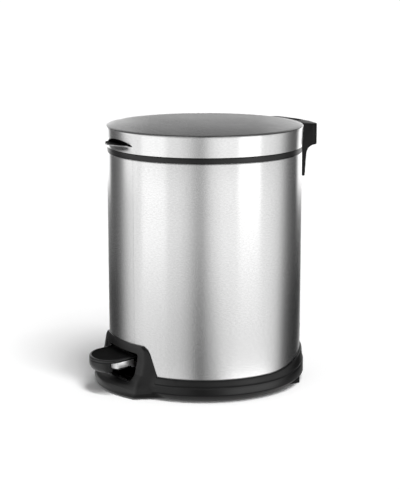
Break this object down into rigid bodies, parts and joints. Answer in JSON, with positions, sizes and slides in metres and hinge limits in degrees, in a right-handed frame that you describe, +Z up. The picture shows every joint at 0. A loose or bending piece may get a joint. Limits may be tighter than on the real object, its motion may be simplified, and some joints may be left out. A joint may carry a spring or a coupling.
{
  "type": "pedal trash can",
  "caption": "Round steel pedal trash can with a hinged lid, black plastic base and hood, foot pedal, lever and push rod, and a lift-out inner bucket with a wire bail.",
  "frame": {"origin": "centre of the bottom cover's underside, on the can's upright axis and on the floor", "axes": "+Z up along the can's axis, -Y towards the pedal and hood, +Y towards the lid hinge, +X to the right of the pedal seen from behind it"},
  "size_m": [0.2128, 0.2528, 0.2705],
  "materials": {
    "body_steel": "fine brushed, clear and bright",
    "lid_steel": "fine brushed, clear and bright",
    "black_plastic": "satin black, fine grain",
    "dark_plastic": "matt black",
    "pedal_plastic": "semi-gloss black with a ribbed tread",
    "bucket_plastic": "satin charcoal",
    "plated_steel": "bright plated",
    "zinc_steel": "zinc plated"
  },
  "bodies": {
    "bin": {"body_shell": "body_steel", "rim_ring": "black_plastic", "base": "black_plastic", "base_deck": "dark_plastic", "bottom_cover": "dark_plastic", "hinge_housing": "black_plastic", "hinge_pin": "zinc_steel", "hinge_screw_right": "zinc_steel", "hinge_screw_left": "zinc_steel", "pedal_bearing_right": "dark_plastic", "pedal_bearing_left": "dark_plastic", "pedal_pivot_pin": "zinc_steel", "cover_screw_1": "zinc_steel", "cover_screw_2": "zinc_steel", "cover_screw_3": "zinc_steel", "bearing_screw_right": "zinc_steel", "bearing_screw_left": "zinc_steel"},
    "lid": {"lid_shell": "lid_steel", "lid_liner": "dark_plastic", "finger_cup": "dark_plastic", "lid_arm": "black_plastic", "lid_screw_front": "zinc_steel", "lid_screw_rear": "zinc_steel"},
    "rod": {"push_rod": "plated_steel", "rod_cap": "black_plastic"},
    "pedal": {"pedal_arm": "plated_steel", "pedal_cover": "pedal_plastic", "pedal_screw_right": "zinc_steel", "pedal_screw_left": "zinc_steel"},
    "bucket": {"inner_bucket": "bucket_plastic"},
    "bail": {"bucket_bail": "plated_steel"}
  },
  "joints": [
    {"name": "lid_hinge", "type": "hinge", "parent": "bin", "child": "lid", "pos_m": [0, 0.113, 0.263], "axis": [-1, 0, 0], "range_deg": [0, 75]},
    {"name": "push_rod_slide", "type": "slide", "parent": "bin", "child": "rod", "axis": [0, 0, 1], "range_m": [0, 0.02264]},
    {"name": "pedal_hinge", "type": "hinge", "parent": "bin", "child": "pedal", "pos_m": [0, -0.045, 0.012], "axis": [1, 0, 0], "range_deg": [0, 9.26]},
    {"name": "bucket_lift", "type": "slide", "parent": "bin", "child": "bucket", "axis": [0, 0, 1], "range_m": [0, 0.005]},
    {"name": "bail_hinge", "type": "hinge", "parent": "bucket", "child": "bail", "pos_m": [0, 0, 0.2498], "axis": [-1, 0, 0], "range_deg": [0, 5]}
  ],
  "couplings": [
    {"joint": "push_rod_slide", "follows": "lid_hinge", "m_per_rad": 0.01729},
    {"joint": "pedal_hinge", "follows": "lid_hinge", "ratio": 0.1234}
  ]
}
